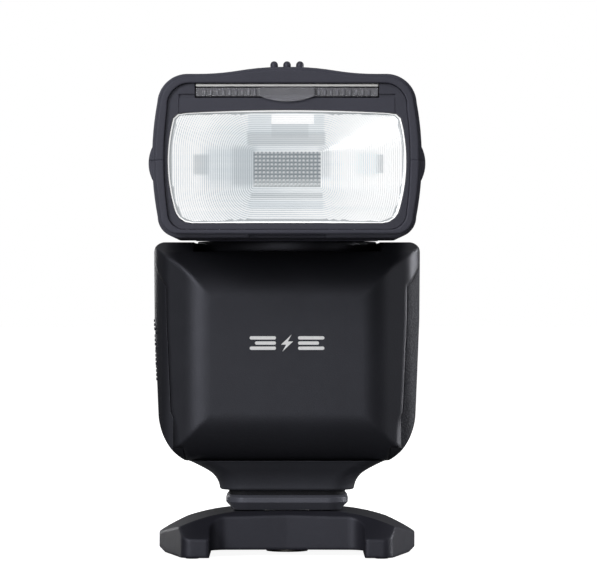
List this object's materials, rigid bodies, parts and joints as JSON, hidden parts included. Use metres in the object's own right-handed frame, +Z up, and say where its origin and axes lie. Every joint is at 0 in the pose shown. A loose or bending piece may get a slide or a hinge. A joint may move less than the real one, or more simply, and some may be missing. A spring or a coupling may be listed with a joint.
{
  "type": "speedlight flash",
  "caption": "Battery camera flash with a tilting, swivelling zoom head, pull-out panels and rear display, locked by its shoe foot on a low mini stand.",
  "frame": {"origin": "on the shoe and tripod axis, level with the surface that the stand rests on", "axes": "+X to the right seen from the lens side, +Y from the lens to the display, +Z up"},
  "size_m": [0.0756, 0.1064, 0.138],
  "materials": {
    "body_plastic": "fine-grained matt",
    "bezel_plastic": "smooth satin",
    "door_plastic": "fine-grained matt",
    "grip_rubber": "finely ribbed",
    "stand_plastic": "satin",
    "foot_plastic": "matt",
    "seal_rubber": "matt",
    "foot_metal": "brushed",
    "steel": "zinc plated",
    "brass": "turned",
    "lens_acrylic": "clear ridged",
    "panel_clear": "clear ribbed",
    "panel_white": "smooth white",
    "reflector_metal": "bright rolled",
    "tube_glass": "clear",
    "inner_plastic": "matt",
    "board_green": "solder mask",
    "capacitor_sleeve": "shrunk sleeve",
    "window_clear": "polished",
    "display_grey": "reflective display",
    "button_plastic": "satin",
    "lamp_plastic": "translucent",
    "cell_sleeve": "plain printed sleeve"
  },
  "bodies": {
    "stand": {"stand_base": "stand_plastic", "stand_tripod_bush": "brass", "stand_rubber_feet": "seal_rubber"},
    "flash_body": {"foot_plate": "foot_metal", "foot_screws": "steel", "foot_block": "foot_plastic", "foot_seal": "seal_rubber", "neck_housing": "foot_plastic", "body_front_cover": "body_plastic", "body_rear_cover": "body_plastic", "body_screws": "steel", "body_side_cover": "grip_rubber", "terminal_sockets": "inner_plastic", "battery_compartment": "inner_plastic", "aa_cells": "cell_sleeve", "battery_contacts": "steel", "display_window": "window_clear", "display_module": "display_grey", "keypad_board": "board_green", "main_board": "board_green", "main_capacitor": "capacitor_sleeve", "charging_transformer": "inner_plastic"},
    "contact_pins": {"foot_contact_pins": "brass"},
    "lock_pin": {"lock_pin": "steel"},
    "lock_lever": {"lock_lever": "foot_plastic"},
    "lock_release_button": {"lock_release_button": "button_plastic"},
    "terminal_flap": {"terminal_flap": "grip_rubber"},
    "door_pin": {"battery_door_pin": "steel"},
    "battery_door": {"battery_door": "door_plastic"},
    "control_dial": {"control_dial": "button_plastic"},
    "set_button": {"set_button": "button_plastic"},
    "function_button_1": {"function_button_1": "button_plastic"},
    "function_button_2": {"function_button_2": "button_plastic"},
    "function_button_3": {"function_button_3": "button_plastic"},
    "function_button_4": {"function_button_4": "button_plastic"},
    "link_button": {"link_button": "button_plastic"},
    "menu_button": {"menu_button": "button_plastic"},
    "test_button": {"test_button": "lamp_plastic"},
    "power_lever": {"power_lever": "button_plastic"},
    "turret": {"swivel_turret": "body_plastic", "swivel_retainer": "steel", "tilt_axles": "steel"},
    "head": {"head_bottom_case": "bezel_plastic", "head_top_case": "bezel_plastic", "head_screws": "steel", "hinge_cap": "body_plastic", "lens_frame": "bezel_plastic", "slot_bar": "bezel_plastic", "fresnel_lens": "lens_acrylic", "panel_tray": "inner_plastic", "zoom_guide_rods": "steel", "zoom_motor": "steel"},
    "bounce_release_button": {"bounce_release_button": "button_plastic"},
    "wide_panel": {"wide_panel": "panel_clear"},
    "catchlight_panel": {"catchlight_panel": "panel_white"},
    "zoom_carriage": {"zoom_carriage": "inner_plastic", "reflector": "reflector_metal", "flash_tube": "tube_glass", "tube_grips": "panel_white"},
    "zoom_lead_screw": {"zoom_lead_screw": "steel"}
  },
  "joints": [
    {"name": "flash_slide", "type": "slide", "parent": "stand", "child": "flash_body", "axis": [0, 1, 0], "range_m": [0, 0.024]},
    {"name": "contact_press", "type": "slide", "parent": "flash_body", "child": "contact_pins", "axis": [0, 0, 1], "range_m": [0, 0.0005], "stiffness_N_per_m": 600},
    {"name": "lock_lever_turn", "type": "hinge", "parent": "flash_body", "child": "lock_lever", "pos_m": [0, 0.009, 0.0156], "axis": [0, 0, 1], "range_deg": [0, 40]},
    {"name": "lock_pin_drop", "type": "slide", "parent": "flash_body", "child": "lock_pin", "axis": [0, 0, -1], "range_m": [0, 0.0018]},
    {"name": "lock_release_press", "type": "slide", "parent": "flash_body", "child": "lock_release_button", "axis": [0, -1, 0], "range_m": [0, 0.0006], "stiffness_N_per_m": 600},
    {"name": "terminal_flap_turn", "type": "hinge", "parent": "flash_body", "child": "terminal_flap", "pos_m": [0.0362, -0.0006, 0.056], "axis": [0, 0, 1], "range_deg": [0, 95]},
    {"name": "battery_door_slide", "type": "slide", "parent": "flash_body", "child": "door_pin", "axis": [0, 0, -1], "range_m": [0, 0.004]},
    {"name": "battery_door_turn", "type": "hinge", "parent": "door_pin", "child": "battery_door", "pos_m": [-0.0356, 0.0226, 0.0625], "axis": [0, 0, -1], "range_deg": [0, 95]},
    {"name": "dial_turn", "type": "hinge", "parent": "flash_body", "child": "control_dial", "pos_m": [0, 0.033, 0.043], "axis": [0, 1, 0], "continuous": true},
    {"name": "set_press", "type": "slide", "parent": "flash_body", "child": "set_button", "axis": [0, -1, 0], "range_m": [0, 0.0006], "stiffness_N_per_m": 600},
    {"name": "function_press_1", "type": "slide", "parent": "flash_body", "child": "function_button_1", "axis": [0, -1, 0], "range_m": [0, 0.0006], "stiffness_N_per_m": 600},
    {"name": "function_press_2", "type": "slide", "parent": "flash_body", "child": "function_button_2", "axis": [0, -1, 0], "range_m": [0, 0.0006], "stiffness_N_per_m": 600},
    {"name": "function_press_3", "type": "slide", "parent": "flash_body", "child": "function_button_3", "axis": [0, -1, 0], "range_m": [0, 0.0006], "stiffness_N_per_m": 600},
    {"name": "function_press_4", "type": "slide", "parent": "flash_body", "child": "function_button_4", "axis": [0, -1, 0], "range_m": [0, 0.0006], "stiffness_N_per_m": 600},
    {"name": "link_press", "type": "slide", "parent": "flash_body", "child": "link_button", "axis": [0, -1, 0], "range_m": [0, 0.0006], "stiffness_N_per_m": 600},
    {"name": "menu_press", "type": "slide", "parent": "flash_body", "child": "menu_button", "axis": [0, -1, 0], "range_m": [0, 0.0006], "stiffness_N_per_m": 600},
    {"name": "test_press", "type": "slide", "parent": "flash_body", "child": "test_button", "axis": [0, -1, 0], "range_m": [0, 0.0006], "stiffness_N_per_m": 600},
    {"name": "power_turn", "type": "hinge", "parent": "flash_body", "child": "power_lever", "pos_m": [-0.0205, 0.033, 0.039], "axis": [0, 1, 0], "range_deg": [0, 50]},
    {"name": "head_swivel", "type": "hinge", "parent": "flash_body", "child": "turret", "pos_m": [0, 0.004, 0.088], "axis": [0, 0, 1], "range_deg": [-180, 180]},
    {"name": "head_tilt", "type": "hinge", "parent": "turret", "child": "head", "pos_m": [0, 0.016, 0.111], "axis": [-1, 0, 0], "range_deg": [0, 90]},
    {"name": "bounce_release_press", "type": "slide", "parent": "head", "child": "bounce_release_button", "axis": [-1, 0, 0], "range_m": [0, 0.0012], "stiffness_N_per_m": 600},
    {"name": "wide_panel_pull", "type": "slide", "parent": "head", "child": "wide_panel", "axis": [0, -1, 0], "range_m": [0, 0.036]},
    {"name": "catchlight_panel_pull", "type": "slide", "parent": "head", "child": "catchlight_panel", "axis": [0, -1, 0], "range_m": [0, 0.036]},
    {"name": "zoom_travel", "type": "slide", "parent": "head", "child": "zoom_carriage", "axis": [0, -1, 0], "range_m": [0, 0.018]},
    {"name": "zoom_screw_turn", "type": "hinge", "parent": "head", "child": "zoom_lead_screw", "pos_m": [-0.0268, -0.02, 0.097], "axis": [0, -1, 0], "range_deg": [0, 3241]}
  ],
  "couplings": [
    {"joint": "lock_pin_drop", "follows": "lock_lever_turn", "m_per_rad": 0.0025783},
    {"joint": "zoom_screw_turn", "follows": "zoom_travel", "rad_per_m": 3141.6}
  ]
}
